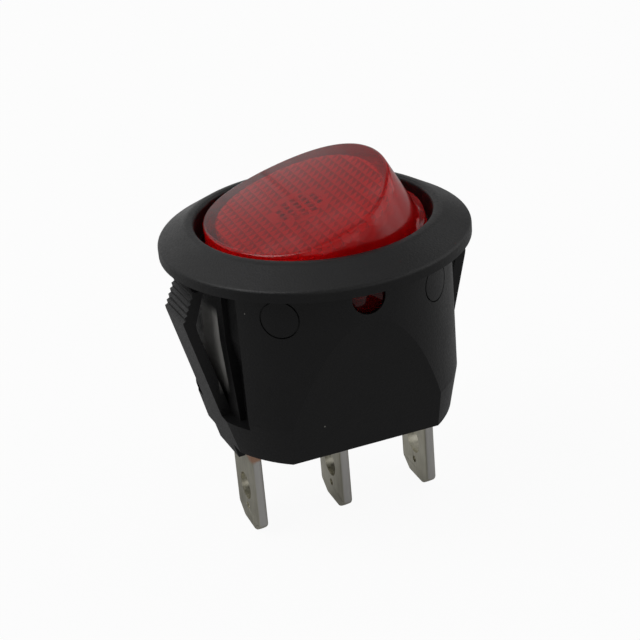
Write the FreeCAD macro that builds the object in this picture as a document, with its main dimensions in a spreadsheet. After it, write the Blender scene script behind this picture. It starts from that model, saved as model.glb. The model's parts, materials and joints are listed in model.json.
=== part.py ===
"""Round illuminated rocker switch that snaps into a panel.

Frame: the origin is the centre of the panel face (the underside of the flange), +Z points out of
the panel, X runs along the row of tabs and Y along the rocker's pivot. Millimetres and degrees.
The rocker is built level and then turned about its pivot into the pose in which +X is raised.
"""
import FreeCAD, Part
import math
import os
import re
import Sketcher

Vector = FreeCAD.Vector
Rotation = FreeCAD.Rotation
Placement = FreeCAD.Placement

doc = FreeCAD.newDocument("rocker_switch")
sheet = doc.addObject("Spreadsheet::Sheet", "sizes")

# Driving dimensions: name, value, what it is
DIMENSIONS = (
    ("flange_diameter", 23.0, "outside of the flange"),
    ("flange_rise", 2.0, "crest of the flange above the panel"),
    ("rim_rise", 0.75, "height of the flange's outer edge"),
    ("rim_round", 0.3, "rounding of the flange's outer edge"),
    ("crest_width", 0.6, "flat of the flange beside the opening"),
    ("crest_round", 0.9, "rounding between the crest and the sloping face"),
    ("lip_round", 0.25, "rounding of the opening's edge"),
    ("opening_diameter", 17.46, "opening that the rocker stands in"),
    ("barrel_diameter", 19.9, "barrel behind the panel"),
    ("barrel_depth", 13.9, "panel face to the bottom of the barrel"),
    ("floor_thickness", 2.5, "bottom of the barrel"),
    ("well_diameter", 17.2, "upper hollow, round the rocker's skirt"),
    ("well_depth", 4.85, "ledge that stops the rocker, below the panel face"),
    ("chamber_width", 15.5, "lower hollow between the wing sides"),
    ("chamber_span", 12.4, "lower hollow along the pivot"),
    ("face_offset", 7.35, "slanted front face from the axis, at the bottom"),
    ("face_top_depth", 2.7, "depth at which the front face runs out"),
    ("band_depth", 10.8, "depth at which the barrel's narrower band starts"),
    ("band_foot_radius", 9.35, "barrel at its bottom"),
    ("mark_radius", 1.45, "round marks beside the pivot holes"),
    ("mark_groove", 0.1, "width and depth of the marks' groove"),
    ("mark_step", 36.8, "angle from the pivot hole to a mark"),
    ("mark_depth", 2.0, "centre of the marks below the panel face"),
    ("wing_turn", 3.0, "snap wings from the row of tabs"),
    ("wing_width", 3.8, "snap wing"),
    ("wing_teeth", 6.0, "teeth on the wing's ramp"),
    ("tooth_step", 0.22, "each tooth out of the ramp"),
    ("wing_thickness", 0.85, "snap wing"),
    ("wing_reach", 11.4, "knee of the wing from the axis"),
    ("wing_knee_depth", 3.5, "knee of the wing below the panel face"),
    ("wing_top_reach", 10.35, "free end of the wing from the axis"),
    ("wing_top_thickness", 0.7, "free end of the wing"),
    ("wing_gap", 1.1, "free end of the wing below the flange"),
    ("wing_foot_reach", 8.45, "foot of the wing from the axis, at its lower end"),
    ("wing_foot_depth", 15.1, "lower end of the wing's foot below the panel face"),
    ("recess_turn", 9.0, "recesses and lower hollow from the row of tabs"),
    ("recess_depth", 11.3, "floor of the recess behind the wing"),
    ("recess_step_depth", 4.6, "where the recess grows deeper, below the panel face"),
    ("recess_step_height", 2.4, "slanted step in the recess"),
    ("recess_half_width", 4.2, "recess behind the wing"),
    ("recess_upper_reach", 8.85, "back of the recess, upper part"),
    ("recess_lower_reach", 8.35, "back of the recess, lower part"),
    ("pad_half_width", 2.45, "pad in the recess"),
    ("pad_upper_reach", 9.25, "pad in the recess, upper part"),
    ("pad_lower_reach", 8.8, "pad in the recess, at its floor"),
    ("pivot_depth", 0.95, "pivot below the panel face"),
    ("pivot_radius", 1.2, "rocker's pivot pins"),
    ("pivot_reach", 9.72, "end of a pivot pin from the axis"),
    ("running_gap", 0.05, "radial clearance of pins and plunger"),
    ("tilt", 16.0, "rocker from level at the end of its travel"),
    ("rocker_height", 5.2, "block above the pivot, before the hollow top is cut"),
    ("rocker_top_x", 6.9, "half length of the block at its top"),
    ("rocker_top_y", 7.8, "half width of the block at its top"),
    ("rocker_base_x", 8.05, "half length of the block at its base"),
    ("rocker_base_y", 8.3, "half width of the block at its base"),
    ("rocker_base_rise", 0.25, "base of the block above the pivot"),
    ("rocker_rim_round", 0.3, "rounding of the rocker's upper edge"),
    ("dish_radius", 25.0, "hollow of the rocker's top"),
    ("dish_rise", 4.0, "lowest line of the top above the pivot"),
    ("skirt_radius", 8.45, "skirt of the rocker, about its pivot"),
    ("skirt_drop", 1.5, "lower edge of the skirt below the pivot"),
    ("lens_wall", 0.6, "side wall of the rocker"),
    ("ceiling_rise", 3.0, "underside of the top above the pivot"),
    ("prism_pitch", 0.7, "grid under the top"),
    ("prism_depth", 0.2, "grid under the top"),
    ("prism_margin", 0.05, "plain band between the grid and the wall"),
    ("tube_radius", 1.75, "spring tube under the rocker"),
    ("plunger_radius", 1.2, "plunger"),
    ("plunger_gap", 0.07, "plunger over the lever in mid travel"),
    ("plunger_travel", 0.7, "plunger back into its tube"),
    ("plunger_top_drop", 1.9, "shoulder of the plunger below the pivot"),
    ("plunger_nose_length", 0.8, "spring seat on top of the plunger"),
    ("spring_wire", 0.3, "plunger spring"),
    ("spring_turns", 6.0, "plunger spring"),
    ("spring_top_rise", 1.9, "closed end of the spring tube above the pivot"),
    ("tab_pitch", 7.0, "line tab to load tab"),
    ("lamp_tab_offset", 7.2, "load tab to lamp tab"),
    ("tab_width", 4.8, "tab"),
    ("tab_thickness", 0.8, "tab"),
    ("tab_tip_depth", 22.55, "tip of the tabs below the panel face"),
    ("tab_nose_width", 2.4, "flat end of a tab's tip"),
    ("tab_nose_height", 0.85, "slanted corner of a tab's tip"),
    ("tab_nose_round", 0.5, "rounding of a tab's corners"),
    ("tab_hole_radius", 1.1, "hole in a tab"),
    ("tab_hole_rise", 3.45, "hole above the tip"),
    ("tab_pip_radius", 0.28, "small dimple in a tab"),
    ("tab_pip_depth", 0.15, "small dimple in a tab"),
    ("tab_pip_rise", 1.65, "small dimple above the tip"),
    ("slot_gap", 0.04, "tab in its slot"),
    ("seat_gap", 0.05, "contact shelf over the barrel's floor"),
    ("shelf_reach", 4.0, "inner end of the contact shelf from the axis"),
    ("lamp_tab_depth", 8.5, "top of the lamp tab below the panel face"),
    ("lever_thickness", 0.6, "contact lever"),
    ("lever_width", 3.8, "contact lever"),
    ("lever_long_arm", 6.3, "arm with the contact"),
    ("lever_short_arm", 3.4, "arm on the raised side"),
    ("lever_bend", 9.0, "each arm above level when the lever is centred"),
    ("lever_swing", 9.0, "lever from its centre at the end of its travel"),
    ("lever_rib_radius", 0.25, "round rib that the lever turns on"),
    ("cradle_gap", 0.03, "lever over its cradle"),
    ("ear_rise", 1.6, "cradle's ears above the lever's edge"),
    ("contact_radius", 1.1, "rivet contacts"),
    ("contact_height", 0.6, "rivet contacts"),
    ("contact_offset", 5.0, "rivet contacts from the cradle"),
    ("contact_gap", 0.03, "between the closed contacts"),
    ("carrier_gap", 0.1, "lamp carrier in the rocker's wall"),
    ("carrier_seat", 0.35, "ledge in the rocker that the lamp carrier seats on"),
    ("carrier_thickness", 0.9, "lamp carrier"),
    ("carrier_drop", 1.4, "underside of the lamp carrier below the pivot"),
    ("lamp_axis_rise", 1.05, "neon lamp and resistor above the pivot"),
    ("lamp_radius", 1.45, "neon lamp"),
    ("lamp_length", 6.6, "neon lamp"),
    ("lamp_round", 0.9, "rounded ends of the neon lamp"),
    ("lamp_offset", 3.55, "neon lamp from the spring tube's axis"),
    ("resistor_radius", 0.85, "lamp resistor"),
    ("resistor_length", 3.6, "lamp resistor"),
    ("resistor_cap_length", 1.0, "thicker end of the resistor"),
    ("resistor_cap_step", 0.12, "thicker end of the resistor over its waist"),
    ("resistor_offset", 3.6, "lamp resistor from the spring tube's axis"),
    ("lead_radius", 0.2, "lamp leads"),
    ("lead_gap", 0.05, "leads over the carrier and beside the buttons"),
    ("lead_loop", 1.6, "link lead beyond the lamp's end"),
    ("lead_step", 1.0, "neutral lead beyond the resistor's end"),
    ("lead_side", 1.2, "neutral lead beside the resistor's axis"),
    ("pad_radius", 0.8, "contact buttons under the lamp carrier"),
    ("pad_height", 0.5, "contact buttons under the lamp carrier"),
    ("pad_offset", 4.5, "contact buttons along the pivot"),
    ("finger_thickness", 0.3, "spring fingers to the lamp"),
    ("finger_width", 1.4, "spring fingers to the lamp"),
    ("finger_gap", 0.45, "finger's end below the contact button"),
)
for row, (name, value, note) in enumerate(DIMENSIONS, start=1):
    sheet.set("A%d" % row, name)
    sheet.set("B%d" % row, repr(value))
    sheet.set("C%d" % row, note)
    sheet.setAlias("B%d" % row, name)
doc.recompute()

ALIASES = {name for name, value, note in DIMENSIONS}


def bound(expression):
    """The expression with each dimension's name pointing into the sheet"""
    return re.sub(r"[a-z][a-z_]*", lambda found: "sizes." + found.group() if found.group() in ALIASES
                  else found.group(), expression)


def size(expression):
    """The expression's value now"""
    value = sheet.evalExpression(bound(expression))
    return float(getattr(value, "Value", value))


def bind(thing, **bindings):
    """Tie properties to expressions; a double underscore stands for a dot"""
    for name, expression in bindings.items():
        thing.setExpression(name.replace("__", "."), bound(expression))
    return thing


def primitive(kind, name, **bindings):
    return bind(doc.addObject("Part::" + kind, name), **bindings)


def box(name, low, high):
    """Block between two corners whose coordinates are expressions"""
    block = doc.addObject("Part::Box", name)
    for side, axis, start, end in zip(("Length", "Width", "Height"), "xyz", low, high):
        block.setExpression(side, bound("(%s) - (%s)" % (end, start)))
        block.setExpression("Placement.Base." + axis, bound(start))
    return block


def combined(kind, name, base, tools):
    """Base with all tools fused to it or cut from it"""
    if kind == "MultiFuse":
        result = doc.addObject("Part::MultiFuse", name)
        result.Shapes = [base] + list(tools)
        return result
    tool = tools[0]
    if len(tools) > 1:
        tool = doc.addObject("Part::MultiFuse", name + "_tools")
        tool.Shapes = list(tools)
    result = doc.addObject("Part::" + kind, name)
    result.Base = base
    result.Tool = tool
    return result


def outline(sketch, corners):
    """Closed outline of straight lines; each corner is a pair of expressions"""
    values = [Vector(size(across), size(along), 0) for across, along in corners]
    count = len(corners)
    for index in range(count):
        sketch.addGeometry(Part.LineSegment(values[index], values[(index + 1) % count]), False)
    for index in range(count):
        sketch.addConstraint(Sketcher.Constraint("Coincident", index, 2, (index + 1) % count, 1))
    for index, corner in enumerate(corners):
        for kind, expression in zip(("DistanceX", "DistanceY"), corner):
            number = sketch.addConstraint(Sketcher.Constraint(kind, -1, 1, index, 1, size(expression)))
            sketch.setExpression("Constraints[%d]" % number, bound(expression))


def body_with_sketch(name, plane, corners):
    """A body with its first sketch on one of its own origin planes"""
    body = doc.addObject("PartDesign::Body", name)
    return body, plane_sketch(body, name + "_outline", plane, corners)


def plane_sketch(body, name, plane, corners=()):
    sketch = body.newObject("Sketcher::SketchObject", name)
    support = [feature for feature in body.Origin.OriginFeatures if feature.Role == plane][0]
    sketch.AttachmentSupport = [(support, "")]
    sketch.MapMode = "FlatFace"
    if corners:
        outline(sketch, corners)
    return sketch


def pad(body, sketch, length, midplane=True):
    feature = body.newObject("PartDesign::Pad", sketch.Name + "_pad")
    feature.Profile = sketch
    feature.Midplane = midplane
    bind(feature, Length=length)
    return feature


def revolution(body, sketch):
    feature = body.newObject("PartDesign::Revolution", sketch.Name + "_turned")
    feature.Profile = sketch
    feature.ReferenceAxis = (sketch, ["V_Axis"])
    feature.Angle = 360
    return feature


def edges_where(shape, test):
    return ["Edge%d" % number for number, edge in enumerate(shape.Edges, start=1) if test(edge)]


def rounded(body, base, name, radius, test):
    """Fillet on the base feature's edges that pass the test"""
    doc.recompute()
    feature = body.newObject("PartDesign::Fillet", name)
    feature.Base = (base, edges_where(base.Shape, test))
    bind(feature, Radius=radius)
    return feature


def named(thing, label):
    thing.Label = label
    NODES.append(thing)
    return thing


NODES = []

# Places that follow from the driving dimensions
FLOOR = "(floor_thickness - barrel_depth)"
SHELF_TOP = "(%s + seat_gap + tab_thickness)" % FLOOR
LEVER_EDGE = "(%s + 2*contact_height + contact_gap)" % SHELF_TOP
PLUNGER_REACH = "(-pivot_depth - %s - lever_thickness - plunger_gap)" % LEVER_EDGE
TUBE_DROP = "(%s - 2*plunger_radius - plunger_travel)" % PLUNGER_REACH
CARRIER_X = "(rocker_base_x - lens_wall - carrier_gap)"
CARRIER_Y = "(rocker_base_y - lens_wall - carrier_gap)"
CARRIER_TOP = "(carrier_thickness - carrier_drop)"


def turned_about_z(thing, angle):
    thing.Placement = Placement(Vector(0, 0, 0), Rotation(Vector(0, 0, 1), 1))
    return bind(thing, Placement__Rotation__Angle=angle)


def along_y(name, radius, middle, half_length, across="0", height="0"):
    """Cylinder parallel to Y with its middle at the given place"""
    rod = doc.addObject("Part::Cylinder", name)
    rod.Placement = Placement(Vector(0, 0, 0), Rotation(Vector(1, 0, 0), -90))
    bind(rod, Radius=radius, Height="2*(%s)" % half_length)
    bind(rod, Placement__Base__x=across, Placement__Base__z=height)
    return bind(rod, Placement__Base__y="(%s) - (%s)" % (middle, half_length))


def post(name, radius, low, high, across="0", along="0"):
    """Upright cylinder"""
    return primitive("Cylinder", name, Radius=radius, Height="(%s) - (%s)" % (high, low),
                     Placement__Base__x=across, Placement__Base__y=along, Placement__Base__z=low)


def oval_column(name, low, high):
    """Tapered oval column; each end is its half sizes along X and Y and its height"""
    rings = []
    for end, (half_x, half_y, height) in (("low", low), ("high", high)):
        ring = doc.addObject("Part::Ellipse", name + "_" + end)
        ring.Placement = Placement(Vector(0, 0, 0), Rotation(Vector(0, 0, 1), 90))
        bind(ring, MajorRadius=half_y, MinorRadius=half_x, Placement__Base__z=height)
        rings.append(ring)
    column = doc.addObject("Part::Loft", name)
    column.Sections = rings
    column.Solid = True
    column.Ruled = True
    return column


def flange_ring():
    body, sketch = body_with_sketch("flange", "XZ_Plane", (
        ("opening_diameter/2", "0"),
        ("opening_diameter/2", "flange_rise"),
        ("opening_diameter/2 + crest_width", "flange_rise"),
        ("flange_diameter/2", "rim_rise"),
        ("flange_diameter/2", "0")))
    turned = revolution(body, sketch)

    def ring_at(radius, height):
        def test(edge):
            round_edge = isinstance(edge.Curve, Part.Circle)
            return round_edge and abs(edge.Curve.Radius - size(radius)) < 1e-4 \
                and abs(edge.Curve.Center.z - size(height)) < 1e-4
        return test

    lip = rounded(body, turned, "lip", "lip_round", ring_at("opening_diameter/2", "flange_rise"))
    slope_width = "(flange_diameter/2 - opening_diameter/2 - crest_width)"
    half_turn = "(atan((flange_rise - rim_rise)/%s)/2)" % slope_width
    crest_limit = "0.9*(crest_width - lip_round)/tan%s" % half_turn
    crest = rounded(body, lip, "crest", "min(crest_round; %s)" % crest_limit,
                    ring_at("opening_diameter/2 + crest_width", "flange_rise"))
    body.Tip = rounded(body, crest, "rim", "rim_round", ring_at("flange_diameter/2", "rim_rise"))
    return body


def front_cut(side):
    """Wedge outside the slanted face on one side along Y"""
    sign = "" if side > 0 else "-"
    body, sketch = body_with_sketch("front_cut_%s" % ("back" if side > 0 else "near"), "YZ_Plane", (
        (sign + "barrel_diameter/2", "-face_top_depth"),
        (sign + "face_offset", "-barrel_depth"),
        (sign + "face_offset", "-barrel_depth - 1"),
        (sign + "(barrel_diameter/2 + 1)", "-barrel_depth - 1"),
        (sign + "(barrel_diameter/2 + 1)", "-face_top_depth")))
    body.Tip = pad(body, sketch, "barrel_diameter + 2")
    return body


def barrel_body():
    """Barrel with the narrower band at its bottom"""
    body, sketch = body_with_sketch("barrel", "XZ_Plane", (
        ("0", "-barrel_depth"),
        ("band_foot_radius", "-barrel_depth"),
        ("barrel_diameter/2", "-band_depth"),
        ("barrel_diameter/2", "rim_rise/2"),
        ("0", "rim_rise/2")))
    body.Tip = revolution(body, sketch)
    return body


def side_cut(index):
    """Wedge outside the plane of one wing's outer face"""
    outside = "barrel_diameter/2 + 2"
    body, sketch = body_with_sketch("side_cut_%d" % index, "XZ_Plane", (
        ("wing_reach", "-wing_knee_depth"),
        ("wing_foot_reach", "-wing_foot_depth"),
        (outside, "-wing_foot_depth"),
        (outside, "-wing_knee_depth")))
    body.Tip = pad(body, sketch, "barrel_diameter")
    return turned_about_z(body, "wing_turn + %d" % (180 * index))


def recess_cut(index):
    """Recess behind one wing, with a slanted step down to its deeper part"""
    outside = "barrel_diameter/2 + 1"
    body, sketch = body_with_sketch("recess_%d" % index, "XZ_Plane", (
        ("recess_upper_reach", "0"),
        ("recess_upper_reach", "-recess_step_depth"),
        ("recess_lower_reach", "-recess_step_depth - recess_step_height"),
        ("recess_lower_reach", "-recess_depth"),
        (outside, "-recess_depth"),
        (outside, "0")))
    body.Tip = pad(body, sketch, "2*recess_half_width")
    return turned_about_z(body, "recess_turn + %d" % (180 * index))


def recess_pad(index):
    inner = "(chamber_width/2 + recess_lower_reach)/2"
    body, sketch = body_with_sketch("recess_pad_%d" % index, "XZ_Plane", (
        (inner, "0"),
        ("pad_upper_reach", "0"),
        ("pad_upper_reach", "-well_depth"),
        ("pad_lower_reach", "-recess_depth"),
        (inner, "-recess_depth")))
    body.Tip = pad(body, sketch, "2*pad_half_width")
    return turned_about_z(body, "recess_turn + %d" % (180 * index))


def wing(index):
    """Snap wing: foot on the barrel, knee, and a toothed ramp up to its free end"""
    teeth = int(size("wing_teeth"))
    ramp = []
    for tooth in range(teeth):
        share = "%d/%d" % (tooth, teeth)
        reach = "(wing_top_reach + (wing_reach - wing_top_reach)*%s)" % share
        height = "(-wing_gap - (wing_knee_depth - wing_gap)*%s)" % share
        ramp += [(reach, height), (reach + " + tooth_step", height + " - tooth_step/2")]
    foot_slope = "(wing_reach - wing_foot_reach)/(wing_foot_depth - wing_knee_depth)"
    floor_reach = "wing_foot_reach + (wing_foot_depth - recess_depth)*" + foot_slope
    foot_inside = "recess_lower_reach - wing_thickness/2"
    body, sketch = body_with_sketch("wing_%d" % index, "XZ_Plane", ramp + [
        ("wing_reach", "-wing_knee_depth"),
        ("wing_foot_reach", "-wing_foot_depth"),
        (foot_inside, "-wing_foot_depth"),
        (foot_inside, "-recess_depth"),
        (floor_reach + " - wing_thickness", "-recess_depth"),
        ("wing_reach - wing_thickness", "-wing_knee_depth - wing_thickness/4"),
        ("wing_top_reach - wing_top_thickness", "-wing_gap")])
    body.Tip = pad(body, sketch, "wing_width")
    return turned_about_z(body, "wing_turn + %d" % (180 * index))


def mark_cut(number, turn):
    """Ring-shaped groove round a mark on the barrel, at an angle from +X"""
    outer = post("mark_outer_%d" % number, "mark_radius", "barrel_diameter/2 - 2*mark_groove",
                 "barrel_diameter/2 + 1")
    inner = post("mark_inner_%d" % number, "mark_radius - mark_groove",
                 "barrel_diameter/2 - 3*mark_groove", "barrel_diameter/2 + 2")
    ring = combined("Cut", "mark_%d" % number, outer, [inner])
    ring.Placement = Placement(Vector(0, 0, 0), Rotation(size(turn), 90, 0))
    return bind(ring, Placement__Base__z="-mark_depth")


def tab_slot(name, middle, top):
    return box(name + "_slot",
               (middle + " - tab_thickness/2 - slot_gap", "-tab_width/2 - slot_gap", "-barrel_depth - 1"),
               (middle + " + tab_thickness/2 + slot_gap", "tab_width/2 + slot_gap", top + " + slot_gap"))


def make_housing():
    cuts = [front_cut(1), front_cut(-1), side_cut(0), side_cut(1), recess_cut(0), recess_cut(1)]
    barrel = combined("Cut", "barrel_outside", barrel_body(), cuts)
    outside = combined("MultiFuse", "housing_outside", barrel,
                       [flange_ring(), recess_pad(0), recess_pad(1), wing(0), wing(1)])
    opening = post("opening", "opening_diameter/2", "0", "flange_rise + 1")
    well = post("well", "well_diameter/2", "-well_depth", "0")
    chamber_box = box("chamber_box", ("-chamber_width/2", "-chamber_span/2", FLOOR),
                      ("chamber_width/2", "chamber_span/2", "0"))
    chamber_round = post("chamber_round", "well_diameter/2", FLOOR, "0")
    chamber = turned_about_z(combined("Common", "chamber", chamber_round, [chamber_box]), "recess_turn")
    pivots = along_y("pivot_holes", "pivot_radius + running_gap", "0", "barrel_diameter/2",
                     height="-pivot_depth")
    marks = [mark_cut(number, turn) for number, turn in enumerate(
        ("mark_step - 90", "-mark_step - 90", "mark_step + 90", "90 - mark_step"))]
    slots = [tab_slot("line", "-tab_pitch", FLOOR), tab_slot("load", "0", FLOOR),
             tab_slot("lamp", "lamp_tab_offset", "-lamp_tab_depth")]
    named(combined("Cut", "housing", outside, [opening, well, chamber, pivots] + marks + slots), "housing")


def on_rocker(thing, across="0", height="0"):
    """Carry a piece into the raised pose; its own origin lies at the given place from the pivot"""
    thing.Placement = Placement(Vector(0, 0, 0), Rotation(Vector(0, -1, 0), 1))
    return bind(thing, Placement__Rotation__Angle="tilt",
                Placement__Base__x="(%s)*cos(tilt) - (%s)*sin(tilt)" % (across, height),
                Placement__Base__z="-pivot_depth + (%s)*sin(tilt) + (%s)*cos(tilt)" % (across, height))


def on_lever(thing):
    """Carry a piece that was drawn about the lever's edge into its rest pose"""
    thing.Placement = Placement(Vector(0, 0, 0), Rotation(Vector(0, 1, 0), 1))
    return bind(thing, Placement__Base__z=LEVER_EDGE, Placement__Rotation__Angle="lever_swing")


def prism_grid():
    """Crossed V grooves for the underside of the rocker's top, inside an oval"""
    pitch, depth, base = size("prism_pitch"), size("prism_depth"), size("ceiling_rise")
    half_x = size("rocker_top_x - lens_wall - prism_margin")
    half_y = size("rocker_top_y - lens_wall - prism_margin")

    def grooves(half, across, along, reach):
        count = 2*math.ceil(half/pitch)
        start = -count*pitch/2
        corners = [across*start + Vector(0, 0, base - depth)]
        for number in range(count):
            left = start + number*pitch
            corners += [across*left + Vector(0, 0, base),
                        across*(left + pitch/2) + Vector(0, 0, base + depth)]
        corners += [across*-start + Vector(0, 0, base), across*-start + Vector(0, 0, base - depth)]
        wire = Part.makePolygon([corner - along*reach for corner in corners + corners[:1]])
        return Part.Face(wire).extrude(along*(2*reach))

    x_axis, y_axis = Vector(1, 0, 0), Vector(0, 1, 0)
    rows = grooves(half_x, x_axis, y_axis, half_y + 1).fuse(grooves(half_y, y_axis, x_axis, half_x + 1))
    oval = Part.Ellipse(Vector(0, half_y, 0), Vector(half_x, 0, 0), Vector(0, 0, 0)).toShape()
    column = Part.Face(Part.Wire([oval])).extrude(Vector(0, 0, base + 2*depth))
    grid = doc.addObject("Part::Feature", "prism_grid")
    grid.Shape = rows.common(column)
    return grid


def make_rocker():
    block = oval_column("block", ("rocker_base_x", "rocker_base_y", "rocker_base_rise"),
                        ("rocker_top_x", "rocker_top_y", "rocker_height"))
    dish = along_y("dish", "dish_radius", "0", "rocker_base_y + 1", height="dish_rise + dish_radius")
    skirt = primitive("Sphere", "skirt", Radius="skirt_radius", Angle1="asin(-skirt_drop/skirt_radius)",
                      Angle2="asin(rocker_base_rise/skirt_radius)")
    pins = along_y("pivot_pins", "pivot_radius", "0", "pivot_reach")
    mouth = [half + " + carrier_gap" for half in (CARRIER_X, CARRIER_Y)]
    ledge = [half + " - carrier_seat" for half in (CARRIER_X, CARRIER_Y)]
    ceiling = ["rocker_top_x - lens_wall", "rocker_top_y - lens_wall"]
    seat = CARRIER_TOP + " + seat_gap"
    hollows = [oval_column("carrier_mouth", mouth + ["-skirt_drop - 1"], mouth + [seat]),
               oval_column("hollow", ledge + [CARRIER_TOP], ceiling + ["ceiling_rise"])]
    tube = post("spring_tube", "tube_radius", "-" + TUBE_DROP, "ceiling_rise + prism_depth/2")
    bore = post("spring_bore", "plunger_radius + running_gap", "-%s - 1" % TUBE_DROP, "spring_top_rise")
    body = combined("Cut", "rocker_block", block, [dish])
    doc.recompute()
    rim = doc.addObject("Part::Fillet", "rocker_rim")
    rim.Base = body
    radius = size("rocker_rim_round")
    highest = size("rocker_base_rise") + 1
    rim.Edges = [(number, radius, radius) for number, edge in enumerate(body.Shape.Edges, start=1)
                 if edge.BoundBox.ZMin > highest]
    shell = combined("MultiFuse", "rocker_outside", rim, [skirt, pins])
    shell = combined("Cut", "rocker_shell", shell, hollows + [prism_grid()])
    shell = combined("MultiFuse", "rocker_with_tube", shell, [tube])
    named(on_rocker(combined("Cut", "rocker", shell, [bore])), "rocker")


def make_plunger():
    body, sketch = body_with_sketch("plunger", "XZ_Plane", (
        ("0", "-plunger_top_drop + plunger_nose_length"),
        ("plunger_radius/2", "-plunger_top_drop + plunger_nose_length"),
        ("plunger_radius/2", "-plunger_top_drop"),
        ("plunger_radius", "-plunger_top_drop"),
        ("plunger_radius", "-" + PLUNGER_REACH),
        ("0", "-" + PLUNGER_REACH)))
    turned = revolution(body, sketch)
    body.Tip = rounded(body, turned, "tip", "plunger_radius*0.9", lambda edge: isinstance(
        edge.Curve, Part.Circle) and abs(edge.Curve.Center.z + size(PLUNGER_REACH)) < 1e-4)
    named(on_rocker(body), "plunger")


def make_plunger_spring():
    """Compression spring from the plunger's shoulder to the closed end of the tube"""
    wire = size("spring_wire")
    low = size("-plunger_top_drop") + wire/2 + 0.02
    high = size("spring_top_rise") - wire/2 - 0.02
    radius = size("plunger_radius") - wire/2 - 0.08
    turns = size("spring_turns")
    helix = Part.makeHelix((high - low)/turns, high - low, radius)
    helix.translate(Vector(0, 0, low))
    section = Part.Wire([Part.Circle(Vector(radius, 0, low), Vector(0, 1, 0), wire/2).toShape()])
    spring = doc.addObject("Part::Feature", "plunger_spring")
    spring.Shape = Part.Wire(helix).makePipeShell([section], True, True)
    named(on_rocker(spring), "plunger_spring")


def make_contact_lever():
    """Bent strip with a round rib that rocks in the cradle; the rib's axis is the origin"""
    long_rise = "lever_long_arm*tan(lever_bend)"
    short_rise = "lever_short_arm*tan(lever_bend)"
    body, sketch = body_with_sketch("lever_strip", "XZ_Plane", (
        ("0", "0"), ("lever_short_arm", short_rise),
        ("lever_short_arm", short_rise + " + lever_thickness"), ("0", "lever_thickness"),
        ("-lever_long_arm", long_rise + " + lever_thickness"), ("-lever_long_arm", long_rise)))
    body.Tip = pad(body, sketch, "lever_width")
    rib = along_y("lever_rib", "lever_rib_radius", "0", "lever_width/2")
    named(on_lever(combined("MultiFuse", "contact_lever", body, [rib])), "contact_lever")


def make_contacts():
    rise = "-contact_height"
    moving = post("moving_contact", "contact_radius", rise, "0")
    moving.Placement = Placement(Vector(0, 0, 0), Rotation(Vector(0, 1, 0), 1))
    bend = "(lever_swing + lever_bend)"
    bind(moving, Placement__Rotation__Angle=bend,
         Placement__Base__x="-contact_offset*cos%s - contact_height*sin%s" % (bend, bend),
         Placement__Base__z="%s + contact_offset*sin%s - contact_height*cos%s" % (LEVER_EDGE, bend, bend))
    named(moving, "moving_contact")
    named(post("fixed_contact", "contact_radius", SHELF_TOP, SHELF_TOP + " + contact_height",
               across="-contact_offset"), "fixed_contact")


def tab_body(name, middle, top):
    """Flat tab with a blunt nose, a hole and a dimple, standing in its slot up to the given height"""
    tip = "-tab_tip_depth"
    nose_end = tip + " + tab_nose_height"
    strip = name + "_strip"
    body, sketch = body_with_sketch(strip, "YZ_Plane", (
        ("-tab_nose_width/2", tip), ("tab_nose_width/2", tip), ("tab_width/2", nose_end),
        ("tab_width/2", top), ("-tab_width/2", top), ("-tab_width/2", nose_end)))
    flat = pad(body, sketch, "tab_thickness")
    rounded(body, flat, strip + "_nose", "tab_nose_round", lambda edge: edge.BoundBox.XLength
            > size("tab_thickness")*0.9 and edge.BoundBox.ZMax < size(nose_end) + 1e-4)
    hole = plane_sketch(body, strip + "_hole", "YZ_Plane")
    hole.addGeometry(Part.Circle(Vector(0, size(tip + " + tab_hole_rise"), 0), Vector(0, 0, 1),
                                 size("tab_hole_radius")), False)
    hole.addConstraint(Sketcher.Constraint("Radius", 0, size("tab_hole_radius")))
    hole.addConstraint(Sketcher.Constraint("DistanceX", -1, 1, 0, 3, 0))
    hole.addConstraint(Sketcher.Constraint("DistanceY", -1, 1, 0, 3, size(tip + " + tab_hole_rise")))
    hole.setExpression("Constraints[0]", bound("tab_hole_radius"))
    hole.setExpression("Constraints[2]", bound(tip + " + tab_hole_rise"))
    pocket = body.newObject("PartDesign::Pocket", strip + "_hole_cut")
    pocket.Profile = hole
    pocket.Midplane = True
    bind(pocket, Length="2*tab_thickness")
    body.Tip = pocket
    bind(body, Placement__Base__x=middle)
    pip = doc.addObject("Part::Cylinder", name + "_pip")
    pip.Placement = Placement(Vector(0, 0, 0), Rotation(Vector(0, 1, 0), 90))
    bind(pip, Radius="tab_pip_radius", Height="2*tab_pip_depth", Placement__Base__z=tip + " + tab_pip_rise",
         Placement__Base__x=middle + " - tab_thickness/2 - tab_pip_depth")
    return combined("Cut", name, body, [pip])


def make_terminals():
    line_tab = tab_body("line_tab", "-tab_pitch", SHELF_TOP)
    shelf = box("contact_shelf",
                ("-tab_pitch + tab_thickness/2", "-tab_width/2", SHELF_TOP + " - tab_thickness"),
                ("-shelf_reach", "tab_width/2", SHELF_TOP))
    named(combined("MultiFuse", "terminal_line", line_tab, [shelf]), "terminal_line")

    load_tab = tab_body("load_tab", "0", LEVER_EDGE + " + ear_rise")
    saddle = box("saddle", ("-tab_thickness", "-lever_width/2 - cradle_gap*3", LEVER_EDGE + " - cradle_gap"),
                 ("tab_thickness", "lever_width/2 + cradle_gap*3", LEVER_EDGE + " + 2*ear_rise"))
    groove = along_y("cradle_groove", "lever_rib_radius + cradle_gap", "0", "lever_width/2 + 3*cradle_gap",
                     height=LEVER_EDGE)
    named(combined("Cut", "terminal_load", load_tab, [saddle, groove]), "terminal_load")

    named(tab_body("terminal_lamp", "lamp_tab_offset", "-lamp_tab_depth"), "terminal_lamp")


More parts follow.
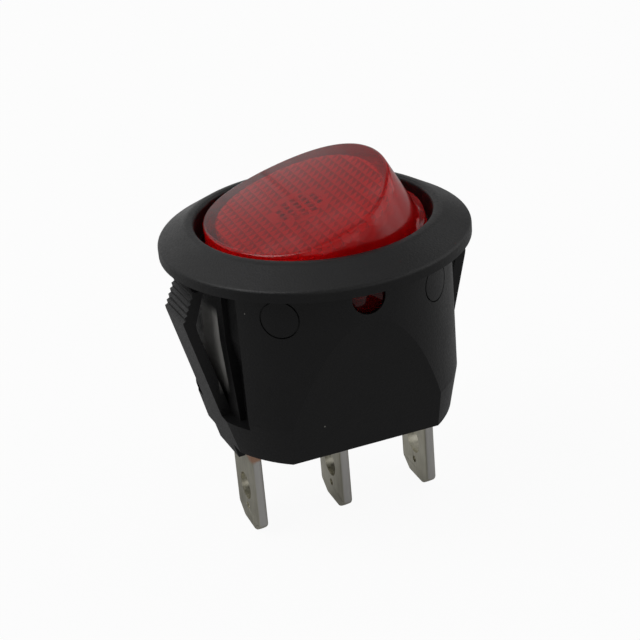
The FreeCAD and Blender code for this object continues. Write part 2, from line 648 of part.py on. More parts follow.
def make_fingers():
    """Spring fingers from the load tab and the lamp tab up to the lamp's contact buttons"""
    top = "(-pivot_depth - carrier_drop - pad_height - finger_gap)"
    strip_top = FLOOR + " + finger_thickness"

    def upright(name, side):
        middle = "%s*pad_offset" % side
        return box(name, ("-finger_width/2", middle + " - finger_thickness/2", FLOOR),
                   ("finger_width/2", middle + " + finger_thickness/2", top))

    short_strip = box("short_strip", ("-finger_width/2", "-pad_offset", FLOOR),
                      ("finger_width/2", "-tab_width/2 - cradle_gap", strip_top))
    named(combined("MultiFuse", "lamp_finger_load", short_strip, [upright("load_upright", "-1")]),
          "lamp_finger_load")

    body, sketch = body_with_sketch("long_strip", "XY_Plane", (
        ("lamp_tab_offset - tab_thickness/2 - cradle_gap", "tab_width/2 - finger_width"),
        ("lamp_tab_offset - tab_thickness/2 - cradle_gap", "tab_width/2"),
        ("lamp_tab_offset - 2*finger_width", "pad_offset + finger_width/3"),
        ("-finger_width/2", "pad_offset + finger_width/3"),
        ("-finger_width/2", "pad_offset - finger_width/2"),
        ("lamp_tab_offset - 2.5*finger_width", "pad_offset - finger_width/2"),
        ("lamp_tab_offset - tab_thickness/2 - finger_width", "tab_width/2 - finger_width")))
    body.Tip = pad(body, sketch, "finger_thickness", midplane=False)
    bind(body, Placement__Base__z=FLOOR)
    named(combined("MultiFuse", "lamp_finger_neutral", body, [upright("neutral_upright", "1")]),
          "lamp_finger_neutral")


def make_lamp_carrier():
    """Tray that closes the rocker and holds the lamp and its resistor"""
    plate = oval_column("carrier_plate", (CARRIER_X, CARRIER_Y, "-carrier_drop"),
                        (CARRIER_X, CARRIER_Y, CARRIER_TOP))
    saddles = []
    for name, middle, radius, length in (
            ("lamp", "lamp_offset", "lamp_radius", "lamp_length"),
            ("resistor", "-resistor_offset", "resistor_radius", "resistor_length")):
        saddles.append(box(name + "_saddle",
                           (middle + " - 0.8*" + radius, "-0.3*" + length, CARRIER_TOP + " - 0.1"),
                           (middle + " + 0.8*" + radius, "0.3*" + length, "lamp_axis_rise")))
    solid = combined("MultiFuse", "carrier_solid", plate, saddles)
    holes = [post("tube_hole", "tube_radius + running_gap", "-carrier_drop - 1", "lamp_axis_rise"),
             along_y("lamp_seat", "lamp_radius + 0.02", "0", "lamp_length", "lamp_offset", "lamp_axis_rise"),
             along_y("resistor_seat", "resistor_radius + 0.02", "0", "resistor_length",
                     "-resistor_offset", "lamp_axis_rise")]
    holes += [post("button_hole_%s" % name, "pad_radius/2 + 0.02", "-carrier_drop - 1", "0",
                   along=side + "pad_offset") for name, side in (("load", "-"), ("neutral", ""))]
    named(on_rocker(combined("Cut", "lamp_carrier", solid, holes)), "lamp_carrier")


def make_buttons():
    """Contact buttons riveted through the lamp carrier"""
    for name, side in (("load", "-"), ("neutral", "")):
        along = side + "pad_offset"
        head = post("button_head_" + name, "pad_radius", "-carrier_drop - pad_height", "-carrier_drop",
                    along=along)
        shank = post("button_shank_" + name, "pad_radius/2", "-carrier_drop - pad_height/2",
                     CARRIER_TOP + " + 0.15", along=along)
        named(on_rocker(combined("MultiFuse", "lamp_button_" + name, head, [shank])), "lamp_button_" + name)


def make_lamp():
    """Neon lamp with rounded ends and its resistor with thicker ends, both lying along Y"""
    lamp_end = "lamp_length/2"
    body, sketch = body_with_sketch("neon_lamp", "XY_Plane", (
        ("0", "-" + lamp_end), ("lamp_radius", "-" + lamp_end), ("lamp_radius", lamp_end), ("0", lamp_end)))
    bulb = revolution(body, sketch)
    body.Tip = rounded(body, bulb, "lamp_ends", "lamp_round",
                       lambda edge: isinstance(edge.Curve, Part.Circle))
    named(on_rocker(body, "lamp_offset", "lamp_axis_rise"), "neon_lamp")

    far, near = "resistor_length/2", "(resistor_length/2 - resistor_cap_length)"
    waist = "(resistor_radius - resistor_cap_step)"
    body, sketch = body_with_sketch("lamp_resistor", "XY_Plane", (
        ("0", "-" + far), ("resistor_radius", "-" + far), ("resistor_radius", "-" + near),
        (waist, "-%s + resistor_cap_step" % near), (waist, near + " - resistor_cap_step"),
        ("resistor_radius", near), ("resistor_radius", far), ("0", far)))
    body.Tip = revolution(body, sketch)
    named(on_rocker(body, "-resistor_offset", "lamp_axis_rise"), "lamp_resistor")


def wire_along(points, radius, bend):
    """Round wire through the points, with an arc of the given radius at each inner one"""
    edges = []
    start = points[0]
    for before, corner, after in zip(points, points[1:], points[2:]):
        into = (corner - before).normalize()
        out = (after - corner).normalize()
        half_turn = into.getAngle(out)/2
        cut = bend*math.tan(half_turn)
        arc_start, arc_end = corner - into*cut, corner + out*cut
        middle = corner + (out - into).normalize()*(bend/math.cos(half_turn) - bend)
        edges.append(Part.LineSegment(start, arc_start).toShape())
        edges.append(Part.Arc(arc_start, middle, arc_end).toShape())
        start = arc_end
    edges.append(Part.LineSegment(start, points[-1]).toShape())
    section = Part.Wire([Part.Circle(points[0], points[1] - points[0], radius).toShape()])
    return Part.Wire(edges).makePipeShell([section], True, True)


def make_leads():
    lamp_x, resistor_x = size("lamp_offset"), -size("resistor_offset")
    lamp_end = size("lamp_length/2 + lead_gap")
    resistor_end = size("resistor_length/2 + lead_gap")
    level = size("lamp_axis_rise")
    radius = size("lead_radius")
    low = size(CARRIER_TOP + " + lead_radius + lead_gap")
    button = size("pad_offset")
    beside = size("pad_radius/2 + lead_gap")
    outer = size("lamp_length/2 + lead_loop")
    inner = resistor_end + size("lead_step")
    side_x = resistor_x - size("lead_side")
    routes = {
        "lamp_lead_load": ((lamp_x, -lamp_end, level), (lamp_x, -button, level), (lamp_x, -button, low),
                           (beside, -button, low)),
        "lamp_lead_link": ((lamp_x, lamp_end, level), (lamp_x, outer, level), (resistor_x, outer, level),
                           (resistor_x, resistor_end, level)),
        "lamp_lead_neutral": ((resistor_x, -resistor_end, level), (resistor_x, -inner, level),
                              (side_x, -inner, low), (side_x, resistor_end, low), (-beside, button, low)),
    }
    for name, route in routes.items():
        lead = doc.addObject("Part::Feature", name)
        lead.Shape = wire_along([Vector(*point) for point in route], radius, 2*radius)
        named(on_rocker(lead), name)


make_housing()
make_rocker()
make_plunger()
make_plunger_spring()
make_contact_lever()
make_contacts()
make_terminals()
make_fingers()
make_lamp_carrier()
make_buttons()
make_lamp()
make_leads()
doc.recompute()

for thing in doc.Objects:
    if "Invalid" in thing.State or "Error" in thing.State:
        raise RuntimeError("%s failed" % thing.Name)
os.makedirs("parts", exist_ok=True)
for node in NODES:
    shape = node.Shape
    if shape.isNull() or not shape.isValid() or not shape.Solids:
        raise RuntimeError("%s has no valid shape" % node.Label)
    print(node.Label, len(shape.Solids), round(shape.Volume, 3))
for node in NODES:
    node.Shape.exportStep("parts/%s.step" % node.Label)
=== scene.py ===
"""Looks of the round illuminated rocker switch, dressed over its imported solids, in metres."""
import json
import math

import bpy
from mathutils import Matrix, Vector


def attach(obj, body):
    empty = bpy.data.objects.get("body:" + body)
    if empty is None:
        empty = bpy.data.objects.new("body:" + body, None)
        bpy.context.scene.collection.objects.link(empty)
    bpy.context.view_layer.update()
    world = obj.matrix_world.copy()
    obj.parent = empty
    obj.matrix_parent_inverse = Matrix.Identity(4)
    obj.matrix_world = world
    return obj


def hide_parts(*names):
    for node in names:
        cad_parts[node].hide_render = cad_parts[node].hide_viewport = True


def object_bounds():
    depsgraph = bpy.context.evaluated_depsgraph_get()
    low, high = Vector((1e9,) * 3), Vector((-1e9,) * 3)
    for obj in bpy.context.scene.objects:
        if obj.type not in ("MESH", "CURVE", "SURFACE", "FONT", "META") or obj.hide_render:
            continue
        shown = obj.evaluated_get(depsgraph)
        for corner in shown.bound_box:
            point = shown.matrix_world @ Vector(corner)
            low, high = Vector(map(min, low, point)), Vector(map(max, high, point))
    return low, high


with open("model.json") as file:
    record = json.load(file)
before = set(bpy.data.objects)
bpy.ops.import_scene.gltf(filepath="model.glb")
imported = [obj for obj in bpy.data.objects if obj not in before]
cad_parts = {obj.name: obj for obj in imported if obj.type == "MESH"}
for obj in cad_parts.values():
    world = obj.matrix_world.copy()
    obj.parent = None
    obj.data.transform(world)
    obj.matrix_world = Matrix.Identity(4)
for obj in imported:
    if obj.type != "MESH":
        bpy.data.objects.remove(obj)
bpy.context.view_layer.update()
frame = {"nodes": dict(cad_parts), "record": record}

NODES = frame["nodes"]
MM = 0.001


# Node helpers

def add(tree, kind, inputs=(), **settings):
    """New node with its settings; inputs maps a socket's name or number to a value or a socket."""
    node = tree.nodes.new(kind)
    for name, value in settings.items():
        setattr(node, name, value)
    for name, value in dict(inputs).items():
        if isinstance(value, bpy.types.NodeSocket):
            tree.links.new(value, node.inputs[name])
        else:
            node.inputs[name].default_value = value
    return node


def math_node(tree, operation, *values):
    return add(tree, "ShaderNodeMath", dict(enumerate(values)), operation=operation).outputs[0]


def product(tree, *values):
    """All the values multiplied together."""
    result = values[0]
    for value in values[1:]:
        result = math_node(tree, "MULTIPLY", result, value)
    return result


def vector_node(tree, operation, *values, output="Vector"):
    node = add(tree, "ShaderNodeVectorMath", dict(enumerate(values)), operation=operation)
    return node.outputs[output]


def mix_colour(tree, factor, first, second):
    """Colour mix; Factor is socket 0, the two colours are sockets 6 and 7."""
    return add(tree, "ShaderNodeMix", {0: factor, 6: first, 7: second}, data_type="RGBA").outputs[2]


def spread(tree, value, low, high, to_low=0.0, to_high=1.0):
    """Value mapped from low...high to to_low...to_high and held between them."""
    return add(tree, "ShaderNodeMapRange", {"Value": value, "From Min": low, "From Max": high,
                                            "To Min": to_low, "To Max": to_high}).outputs[0]


def fade(tree, value, off, full):
    """0 at the place off and 1 at the place full, both in millimetres."""
    return spread(tree, value, off * MM, full * MM)


def noise(tree, place, scale, detail, roughness):
    return add(tree, "ShaderNodeTexNoise", {"Vector": place, "Scale": scale, "Detail": detail,
                                            "Roughness": roughness}).outputs[0]


def axes_of(tree, place):
    return add(tree, "ShaderNodeSeparateXYZ", {0: place}).outputs


def size_of(tree, value):
    return math_node(tree, "ABSOLUTE", value)


def new_group(name, inputs, outputs):
    """Node group with the vector Place and named value inputs; gives its tree, inputs and outputs."""
    tree = bpy.data.node_groups.new(name, "ShaderNodeTree")
    tree.interface.new_socket(name="Place", in_out="INPUT", socket_type="NodeSocketVector")
    for label, default in inputs.items():
        socket = tree.interface.new_socket(name=label, in_out="INPUT", socket_type="NodeSocketFloat")
        socket.default_value = default
    for label in outputs:
        tree.interface.new_socket(name=label, in_out="OUTPUT", socket_type="NodeSocketFloat")
    given = tree.nodes.new("NodeGroupInput").outputs
    result = tree.nodes.new("NodeGroupOutput").inputs
    return tree, given, result


def placed(tree, group, **inputs):
    """Outputs of a group placed in a material with its own values."""
    return add(tree, "ShaderNodeGroup", inputs, node_tree=group).outputs


# Shared effects

MOTTLE_SCALE = 420.0
SPECK_SCALE = 900.0
SPECK_RADIUS = 0.06
SPECK_SHARE = 0.02
STAIN_SCALE = 600.0
STREAK_SQUEEZE = 0.06


def build_moulded_grain():
    """Spark-eroded grain of a moulding: fine pits, broad mottling and a few dust specks."""
    tree, given, result = new_group("moulded_grain", {"Grain": 0.2, "Dust": 0.5},
                                    ("Height", "Mottle", "Specks"))
    scale = math_node(tree, "DIVIDE", 1000.0, given["Grain"])
    pits = noise(tree, given["Place"], scale, 2.0, 0.6)
    tree.links.new(pits, result["Height"])
    broad = noise(tree, given["Place"], MOTTLE_SCALE, 4.0, 0.65)
    tree.links.new(spread(tree, broad, 0.3, 0.7), result["Mottle"])
    cells = add(tree, "ShaderNodeTexVoronoi", {"Vector": given["Place"], "Scale": SPECK_SCALE,
                                               "Randomness": 1.0}).outputs
    close = math_node(tree, "LESS_THAN", cells["Distance"], SPECK_RADIUS)
    chosen = add(tree, "ShaderNodeSeparateColor", {0: cells["Color"]}).outputs[0]
    limit = math_node(tree, "SUBTRACT", 1.0, product(tree, given["Dust"], SPECK_SHARE))
    rare = math_node(tree, "GREATER_THAN", chosen, limit)
    tree.links.new(product(tree, close, rare), result["Specks"])
    return tree


def build_drawn_streaks():
    """Streaks that run along Z on rolled and plated metal, with broad stains."""
    tree, given, result = new_group("drawn_streaks", {"Width": 0.1}, ("Streak", "Stain"))
    scale = math_node(tree, "DIVIDE", 1000.0, given["Width"])
    squeezed = add(tree, "ShaderNodeMapping", {"Vector": given["Place"],
                                               "Scale": (1.0, 1.0, STREAK_SQUEEZE)}).outputs[0]
    streak = noise(tree, squeezed, scale, 3.0, 0.6)
    tree.links.new(spread(tree, streak, 0.3, 0.7), result["Streak"])
    stain = noise(tree, given["Place"], STAIN_SCALE, 3.0, 0.5)
    tree.links.new(spread(tree, stain, 0.35, 0.7), result["Stain"])
    return tree


GRAIN = build_moulded_grain()
STREAKS = build_drawn_streaks()


def new_material(name, **values):
    """Material whose Principled shader has these plain values; gives it, its tree, shader and place."""
    material = bpy.data.materials.new(name)
    material.use_nodes = True
    tree = material.node_tree
    shader = tree.nodes["Principled BSDF"]
    for label, value in values.items():
        shader.inputs[label.replace("_", " ")].default_value = value
    place = tree.nodes.new("ShaderNodeTexCoord").outputs["Object"]
    return material, tree, shader, place


def feed(tree, shader, colour, roughness, height, depth, strength):
    """Leads a colour, a roughness and a bump of this height to the Principled shader."""
    bump = add(tree, "ShaderNodeBump", {"Height": height, "Distance": depth, "Strength": strength})
    tree.links.new(colour, shader.inputs["Base Color"])
    tree.links.new(roughness, shader.inputs["Roughness"])
    tree.links.new(bump.outputs[0], shader.inputs["Normal"])


# Finishes

BLACK_NYLON = ((0.0045, 0.0045, 0.005, 1), (0.0075, 0.0075, 0.008, 1))
DUST = (0.3, 0.29, 0.27, 1)
# pale grey painted on the pads behind the wings as a highlight
PAD_HIGHLIGHT_GREY = (0.5, 0.49, 0.47, 1)
PAD_TURN = 3.0
PAD_INNER_FACE = (8.7, 8.8)
PAD_OUTER_FACE = (9.35, 9.3)
PAD_SIDES = (2.5, 2.4)
PAD_TOP = (-2.4, -3.2)
PAD_FOOT = (-9.6, -7.0)
CLEAR_DYE = ((0.95, 0.02, 0.03, 1), (0.98, 0.03, 0.04, 1))
CLOUDY_DYE = ((0.94, 0.012, 0.02, 1), (0.98, 0.018, 0.03, 1))
# darker red painted as shade on the prism flanks that face away from the light and on the pins
SHADED_LENS_RED = ((0.74, 0.009, 0.014, 1), (0.8, 0.012, 0.018, 1))
# near-black red painted on the pivot pins as shade, from this distance across Y in millimetres
PIN_SHADE = (0.1, 0.002, 0.003, 1)
PIN_SHADE_START = (8.9, 9.1)
LENS_DEPTH = 0.000003
WHITE_NYLON = ((0.78, 0.77, 0.72, 1), (0.84, 0.83, 0.79, 1))
STREAK_DEPTH = 0.000004
# where the highlight painted on the tabs' narrow edges begins, across Y in millimetres
TAB_EDGE_HIGHLIGHT = (2.3, 2.38)
COPPER = (0.8, 0.48, 0.33, 1)
COPPER_FOOT = (-15.9, -15.7)
COPPER_SIDE = (-6.0, -6.2)
COPPER_RAGGEDNESS = 0.5
CLEAR_GLASS = ((0.96, 0.93, 0.9, 1), (0.99, 0.98, 0.97, 1))
LACQUER = ((0.62, 0.47, 0.28, 1), (0.7, 0.56, 0.36, 1))
RING_HALF_WIDTH = 0.19
RINGS = (
    (-1.3, (0.09, 0.03, 0.015, 1)),
    (-0.5, (0.02, 0.02, 0.02, 1)),
    (0.2, (0.75, 0.55, 0.03, 1)),
    (1.3, (0.6, 0.42, 0.12, 1)),
)


def black_nylon():
    """Fine matt nylon with broad mottling, a little dust and a pale painted highlight on the pads
    behind the wings.
    """
    material, tree, shader, place = new_material("black_nylon")
    grain = placed(tree, GRAIN, Place=place, Grain=0.16, Dust=2.0)
    colour = mix_colour(tree, grain["Mottle"], *BLACK_NYLON)
    # painted highlight: the pads behind the wings are painted pale grey
    colour = mix_colour(tree, painted_pad_highlight(tree, place), colour, PAD_HIGHLIGHT_GREY)
    colour = mix_colour(tree, grain["Specks"], colour, DUST)
    sheen = math_node(tree, "ADD", product(tree, grain["Mottle"], 0.3),
                      product(tree, spread(tree, grain["Height"], 0.3, 0.7), 0.7))
    roughness = spread(tree, sheen, 0.0, 1.0, 0.34, 0.54)
    feed(tree, shader, colour, roughness, grain["Height"], 0.00002, 1.0)
    return material


def painted_pad_highlight(tree, place):
    """1 on the two pads behind the snap wings, where a pale highlight is painted, 0 elsewhere."""
    turned = add(tree, "ShaderNodeVectorRotate", {"Vector": place, "Angle": -math.radians(PAD_TURN)},
                 rotation_type="Z_AXIS").outputs[0]
    axes = axes_of(tree, turned)
    out = size_of(tree, axes["X"])
    across = size_of(tree, axes["Y"])
    return product(tree, fade(tree, out, *PAD_INNER_FACE), fade(tree, across, *PAD_SIDES),
                   fade(tree, axes["Z"], *PAD_TOP), fade(tree, axes["Z"], *PAD_FOOT),
                   fade(tree, out, *PAD_OUTER_FACE))


def red_lens(name="red_lens", clearness=0.96, dye_and_shade=CLEAR_DYE, rough=(0.1, 0.16)):
    """Red moulding whose pivot pins are painted dark as shade; a lower clearness gives the cloudy look
    of inner faces, and a darker colour given here paints shade.
    """
    material, tree, shader, place = new_material(name, IOR=1.5, Transmission_Weight=clearness)
    grain = placed(tree, GRAIN, Place=place, Grain=0.6, Dust=0.0)
    across = size_of(tree, axes_of(tree, place)["Y"])
    colour = mix_colour(tree, grain["Mottle"], *dye_and_shade)
    # painted shade: the pivot pins are painted near-black red
    colour = mix_colour(tree, fade(tree, across, *PIN_SHADE_START), colour, PIN_SHADE)
    roughness = spread(tree, grain["Height"], 0.0, 1.0, *rough)
    feed(tree, shader, colour, roughness, grain["Height"], LENS_DEPTH, 0.3)
    return material


def white_nylon():
    """Natural nylon that lets a little light in."""
    material, tree, shader, place = new_material("white_nylon", Subsurface_Weight=0.1,
                                                 Subsurface_Radius=(0.0006, 0.0005, 0.0004))
    grain = placed(tree, GRAIN, Place=place, Grain=0.25, Dust=0.2)
    colour = mix_colour(tree, grain["Mottle"], *WHITE_NYLON)
    roughness = spread(tree, grain["Mottle"], 0.0, 1.0, 0.42, 0.52)
    feed(tree, shader, colour, roughness, grain["Height"], 0.00001, 0.5)
    return material


def metal(name, dull, bright, rough, width=0.1, edge_highlight=None):
    """Bare or plated metal, streaked along Z and stained; the tone given for the tabs' edges is a pale
    painted highlight.
    """
    material, tree, shader, place = new_material(name, Metallic=1.0)
    streaks = placed(tree, STREAKS, Place=place, Width=width)
    tone = math_node(tree, "ADD", product(tree, streaks["Streak"], 0.6),
                     product(tree, streaks["Stain"], 0.4))
    colour = mix_colour(tree, tone, dull, bright)
    if edge_highlight:
        axes = axes_of(tree, place)
        # painted highlight: the tabs' narrow edges are painted paler than their faces
        edge = fade(tree, size_of(tree, axes["Y"]), *TAB_EDGE_HIGHLIGHT)
        colour = mix_colour(tree, edge, colour, edge_highlight)
        colour = mix_colour(tree, bare_root(tree, axes, streaks["Stain"]), colour, COPPER)
    roughness = spread(tree, streaks["Streak"], 0.0, 1.0, *rough)
    feed(tree, shader, colour, roughness, streaks["Streak"], STREAK_DEPTH, 0.6)
    return material


def bare_root(tree, axes, stain):
    """1 at the root of the line tab, where the plating ends in a ragged line, 0 elsewhere."""
    ragged = math_node(tree, "ADD", axes["Z"], product(tree, stain, COPPER_RAGGEDNESS * MM))
    return product(tree, fade(tree, ragged, *COPPER_FOOT), fade(tree, axes["X"], *COPPER_SIDE))


def lamp_glass():
    """Clear glass envelope with slight waviness."""
    material, tree, shader, place = new_material("lamp_glass", IOR=1.5, Transmission_Weight=1.0)
    grain = placed(tree, GRAIN, Place=place, Grain=1.6, Dust=0.0)
    colour = mix_colour(tree, grain["Mottle"], *CLEAR_GLASS)
    roughness = spread(tree, grain["Height"], 0.0, 1.0, 0.01, 0.05)
    feed(tree, shader, colour, roughness, grain["Height"], 0.00002, 0.4)
    return material


def resistor_lacquer():
    """Beige lacquer with four painted rings round the resistor's axis, which lies along Y."""
    material, tree, shader, place = new_material("resistor_lacquer")
    grain = placed(tree, GRAIN, Place=place, Grain=0.3, Dust=0.3)
    colour = mix_colour(tree, grain["Mottle"], *LACQUER)
    along = axes_of(tree, place)["Y"]
    for middle, paint in RINGS:
        away = size_of(tree, math_node(tree, "SUBTRACT", along, middle * MM))
        ring = math_node(tree, "LESS_THAN", away, RING_HALF_WIDTH * MM)
        colour = mix_colour(tree, ring, colour, paint)
    roughness = spread(tree, grain["Mottle"], 0.0, 1.0, 0.28, 0.4)
    feed(tree, shader, colour, roughness, grain["Height"], 0.00001, 0.4)
    return material


FINISHES = {
    "black_nylon": black_nylon(),
    "red_lens": red_lens(),
    "white_nylon": white_nylon(),
    "spring_steel": metal("spring_steel", (0.42, 0.42, 0.43, 1), (0.6, 0.6, 0.62, 1), (0.2, 0.34)),
    "bare_copper": metal("bare_copper", (0.62, 0.33, 0.2, 1), (0.83, 0.5, 0.35, 1), (0.24, 0.4)),
    "contact_silver": metal("contact_silver", (0.72, 0.71, 0.68, 1), (0.88, 0.87, 0.85, 1),
                            (0.22, 0.36)),
    # tinned brass, with a pale highlight painted on the tabs' sheared edges
    "tinned_brass": metal("tinned_brass", (0.55, 0.53, 0.43, 1), (0.88, 0.85, 0.72, 1), (0.3, 0.5),
                          width=0.16, edge_highlight=(0.95, 0.93, 0.89, 1)),
    "spring_bronze": metal("spring_bronze", (0.55, 0.37, 0.2, 1), (0.76, 0.57, 0.35, 1),
                           (0.24, 0.4)),
    "lamp_glass": lamp_glass(),
    "resistor_lacquer": resistor_lacquer(),
    "lead_wire": metal("lead_wire", (0.6, 0.59, 0.57, 1), (0.8, 0.79, 0.77, 1), (0.2, 0.35),
                       width=0.06),
}


# Pieces

PIVOT_DEPTH = 0.95
REST_TILT = 16.0
SKIRT_HALF_WIDTH = 9.0
TUBE_REACH = 1.8375
TUBE_TOP = 3.5
# prism flanks facing +X and -Y, away from the light, take the darker red as painted shade
SHADED_FLANK_REACH = 2.275
SHADED_FLANK_LEAN = 0.25
UNDERSIDE = -0.2
TOP_SLOPE = 0.7
INWARD_LEAN = -0.2
LENS_SMOOTHING = 25

BLADES = {"terminal_line": -7.0, "terminal_load": 0.0, "terminal_lamp": 7.2}
BLADE_REACH = 1.2
BLADE_TOP = -14.9
BLADE_EDGE = 1.9
NOSE_START = -22.3
COIN = 0.25
COIN_SMOOTHING = 35


def dress_solids():
    """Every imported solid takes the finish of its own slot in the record."""
    for part in frame["record"]["subparts"]:
        for slot in NODES[part["node"]].material_slots:
            slot.material = FINISHES[part["material_slot"]]


def merged_copy(node, name):
    """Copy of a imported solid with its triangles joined, left selected in edit mode."""
    bpy.ops.object.select_all(action="DESELECT")
    solid = NODES[node]
    solid.select_set(True)
    bpy.context.view_layer.objects.active = solid
    bpy.ops.object.duplicate()
    copy = bpy.context.object
    copy.name = name
    bpy.ops.object.mode_set(mode="EDIT")
    bpy.ops.mesh.select_all(action="SELECT")
    bpy.ops.mesh.remove_doubles(threshold=0.001 * MM)
    return copy


def lens_slot(middle, normal):
    """Slot of a face of the levelled rocker: 0 clear outside, 1 cloudy inside, 2 darker red painted as
    shade.
    """
    spoke = math.hypot(middle.x, middle.y)
    under = normal.z < UNDERSIDE
    # painted shade: prism flanks facing away from the light, and faces beyond the skirt where the pins
    # are, take the darker red
    shaded_prism_flank = under and normal.x - normal.y > SHADED_FLANK_LEAN and spoke > SHADED_FLANK_REACH * MM
    if shaded_prism_flank or abs(middle.y) > SKIRT_HALF_WIDTH * MM:
        return 2
    faces_axis = middle.x * normal.x + middle.y * normal.y < INWARD_LEAN * spoke
    inward = normal.z < TOP_SLOPE and faces_axis
    tube = spoke < TUBE_REACH * MM and middle.z < TUBE_TOP * MM
    return 1 if inward or tube or under else 0


def dress_rocker():
    """Copy of the rocker, clear outside, cloudy inside and with shade painted in darker red on the
    skirt and prism flanks.
    """
    lens = merged_copy("rocker", "rocker_lens")
    bpy.ops.object.mode_set(mode="OBJECT")
    bpy.ops.object.shade_smooth_by_angle(angle=math.radians(LENS_SMOOTHING))
    lens.data.materials.clear()
    lens.data.materials.append(FINISHES["red_lens"])
    lens.data.materials.append(red_lens("cloudy_lens", 0.2, CLOUDY_DYE, (0.1, 0.2)))
    # darker copy of the red, painted shade for the prism flanks and pins
    lens.data.materials.append(red_lens("shaded_lens", 0.5, SHADED_LENS_RED, (0.1, 0.2)))
    pivot = Vector((0, 0, -PIVOT_DEPTH * MM))
    level = Matrix.Rotation(math.radians(REST_TILT), 3, "Y")
    for face in lens.data.polygons:
        face.material_index = lens_slot(level @ (face.center - pivot), level @ face.normal)
    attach(lens, "rocker")
    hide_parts("rocker")


def select_rims(mesh, blade):
    """Selects the sharp outer edges of a flat blade that stands at this X, below the barrel."""
    faces_of = {}
    for face in mesh.polygons:
        for key in face.edge_keys:
            faces_of.setdefault(key, []).append(face)
    for edge in mesh.edges:
        ends = [mesh.vertices[i].co for i in edge.vertices]
        pair = faces_of[tuple(sorted(edge.vertices))]
        sharp = len(pair) == 2 and pair[0].normal.dot(pair[1].normal) < 0.5
        upright = abs(ends[0].x - ends[1].x) < 0.1 * MM
        outer = all(abs(end.y) > BLADE_EDGE * MM or end.z < NOSE_START * MM for end in ends)
        below = max(end.z for end in ends) < (BLADE_TOP + 0.01) * MM
        close = abs(ends[0].x - blade * MM) < BLADE_REACH * MM
        edge.select = sharp and upright and outer and below and close


def dress_tabs():
    """Copies of the three terminals whose punched blades have coined, rounded rims."""
    for name, blade in BLADES.items():
        tab = merged_copy(name, name + "_coined")
        bpy.ops.mesh.dissolve_limited(angle_limit=math.radians(2))
        bpy.ops.mesh.select_all(action="SELECT")
        bpy.ops.mesh.bisect(plane_co=(0, 0, BLADE_TOP * MM), plane_no=(0, 0, 1))
        bpy.ops.mesh.select_mode(type="EDGE")
        bpy.ops.mesh.select_all(action="DESELECT")
        bpy.ops.object.mode_set(mode="OBJECT")
        select_rims(tab.data, blade)
        bpy.ops.object.mode_set(mode="EDIT")
        bpy.ops.mesh.bevel(offset=COIN * MM, segments=4, affect="EDGES", clamp_overlap=False)
        bpy.ops.object.mode_set(mode="OBJECT")
        bpy.ops.object.shade_smooth_by_angle(angle=math.radians(COIN_SMOOTHING))
        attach(tab, "housing")
        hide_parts(name)


# Stage

FLOOR_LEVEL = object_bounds()[0].z - 0.00002
FLOOR_RADIUS = 1.5
FLOOR_WHITE = 1.02
FLOOR_SHARE = 0.92
SHADOW_GREY = (0.8, 0.8, 0.8, 1)
BOUNCE_GREY = (0.22, 0.22, 0.22, 1)
NEAR_MIRRORED = 0.09
FAR_MIRRORED = 0.6
BACK_MIRRORED = 0.12
FAR_WAY = (-0.66, 0.75, 0)
BACK_WAY = (0.5, 0.85, 0)
ROOM_LIGHT = 0.08
LAMPS = (
    ("key", (-0.4, 0.0, 0.45), 0.4, 1.0),
    ("back_left", (-0.3, 0.42, 0.3), 0.6, 0.5),
    ("right", (0.7, 0.0, 0.25), 0.9, 1.4),
    ("front_right", (0.42, -0.4, 0.15), 0.8, 0.6),
    ("back", (0.15, 0.55, 0.2), 0.6, 0.38),
    ("front", (0.0, -0.6, 0.12), 0.8, 0.6),
    ("top", (0.0, 0.0, 0.6), 0.6, 0.5),
)
AZIMUTH = -19.6
ELEVATION = 25.5
ROLL = 5.04
FOCAL = 1600.0
DISTANCE = 0.1174
ORIGIN_PIXEL = (314.8, 236.7)
PICTURE = 640.0
SENSOR = 36.0


def mirrored_tone(tree):
    """Brightness of the floor in mirror images: dim close by, paler far behind at the left."""
    place = tree.nodes.new("ShaderNodeTexCoord").outputs["Object"]
    flat = vector_node(tree, "MULTIPLY", place, (1, 1, 0))
    distance = vector_node(tree, "LENGTH", flat, output="Value")
    way = vector_node(tree, "NORMALIZE", flat)
    side = vector_node(tree, "DOT_PRODUCT", way, FAR_WAY, output="Value")
    behind = vector_node(tree, "DOT_PRODUCT", way, BACK_WAY, output="Value")
    far = product(tree, spread(tree, distance, 0.05, 0.2), spread(tree, side, 0.3, 0.7))
    return math_node(tree, "ADD", spread(tree, far, 0.0, 1.0, NEAR_MIRRORED, FAR_MIRRORED),
                     spread(tree, behind, 0.1, 0.7, 0.0, BACK_MIRRORED))


def make_floor():
    """Round floor, white to the camera with a faint shadow, and dim in mirror images."""
    bpy.ops.object.select_all(action="DESELECT")
    bpy.ops.mesh.primitive_circle_add(vertices=96, radius=FLOOR_RADIUS, fill_type="NGON",
                                      location=(0, 0, FLOOR_LEVEL))
    floor = bpy.context.object
    floor.name = "floor"
    material = bpy.data.materials.new("pale_floor")
    material.use_nodes = True
    tree = material.node_tree
    tree.nodes.clear()
    path = tree.nodes.new("ShaderNodeLightPath").outputs
    mirror = math_node(tree, "MAXIMUM", path["Is Glossy Ray"], path["Is Transmission Ray"])
    share = math_node(tree, "MAXIMUM", product(tree, path["Is Camera Ray"], FLOOR_SHARE),
                      product(tree, mirror, mirrored_tone(tree)))
    tone = mix_colour(tree, path["Is Camera Ray"], BOUNCE_GREY, SHADOW_GREY)
    paint = add(tree, "ShaderNodeBsdfDiffuse", {"Color": tone}).outputs[0]
    white = add(tree, "ShaderNodeEmission", {"Color": (1, 1, 1, 1),
                                             "Strength": FLOOR_WHITE}).outputs[0]
    shown = add(tree, "ShaderNodeMixShader", {0: share, 1: paint, 2: white}).outputs[0]
    add(tree, "ShaderNodeOutputMaterial", {"Surface": shown})
    floor.data.materials.append(material)


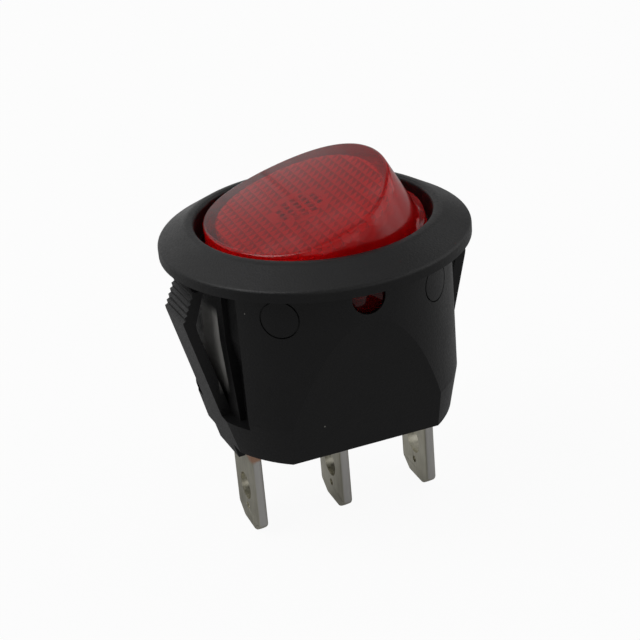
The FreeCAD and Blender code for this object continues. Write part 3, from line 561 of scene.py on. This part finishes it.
def make_world():
    """White all round for the camera, dim as a light."""
    world = bpy.data.worlds.new("studio")
    bpy.context.scene.world = world
    world.use_nodes = True
    tree = world.node_tree
    tree.nodes.clear()
    camera = tree.nodes.new("ShaderNodeLightPath").outputs["Is Camera Ray"]
    strength = math_node(tree, "MAXIMUM", camera, ROOM_LIGHT)
    shade = add(tree, "ShaderNodeBackground", {"Color": (1, 1, 1, 1), "Strength": strength})
    add(tree, "ShaderNodeOutputWorld", {"Surface": shade.outputs[0]})


def make_lamp(name, place, size, power):
    """Soft square lamp at a place, turned to the switch."""
    bpy.ops.object.light_add(type="AREA", location=place)
    lamp = bpy.context.object
    lamp.name = name
    lamp.data.shape = "SQUARE"
    lamp.data.size = size
    lamp.data.energy = power
    lamp.rotation_euler = (-Vector(place)).to_track_quat("-Z", "Y").to_euler()


def make_camera():
    """Camera that puts the frame's origin on its pixel in the square picture."""
    azimuth, elevation, roll = (math.radians(angle) for angle in (AZIMUTH, ELEVATION, ROLL))
    back = Vector((math.sin(azimuth) * math.cos(elevation), -math.cos(azimuth) * math.cos(elevation),
                   math.sin(elevation)))
    level = Vector((math.cos(azimuth), math.sin(azimuth), 0.0))
    upright = back.cross(level)
    right = math.cos(roll) * level - math.sin(roll) * upright
    up = math.sin(roll) * level + math.cos(roll) * upright
    across = (ORIGIN_PIXEL[0] - PICTURE / 2) * DISTANCE / FOCAL
    rise = -(ORIGIN_PIXEL[1] - PICTURE / 2) * DISTANCE / FOCAL
    data = bpy.data.cameras.new("camera")
    data.sensor_width = SENSOR
    data.lens = FOCAL * SENSOR / PICTURE
    data.clip_start = 0.005
    data.clip_end = 10.0
    camera = bpy.data.objects.new("camera", data)
    bpy.context.scene.collection.objects.link(camera)
    turned = Matrix((right, up, back)).transposed().to_4x4()
    turned.translation = DISTANCE * back - across * right - rise * up
    camera.matrix_world = turned
    bpy.context.scene.camera = camera


dress_solids()
dress_rocker()
dress_tabs()
make_floor()
make_world()
for lamp in LAMPS:
    make_lamp(*lamp)
make_camera()
bpy.context.scene.view_settings.view_transform = "Standard"
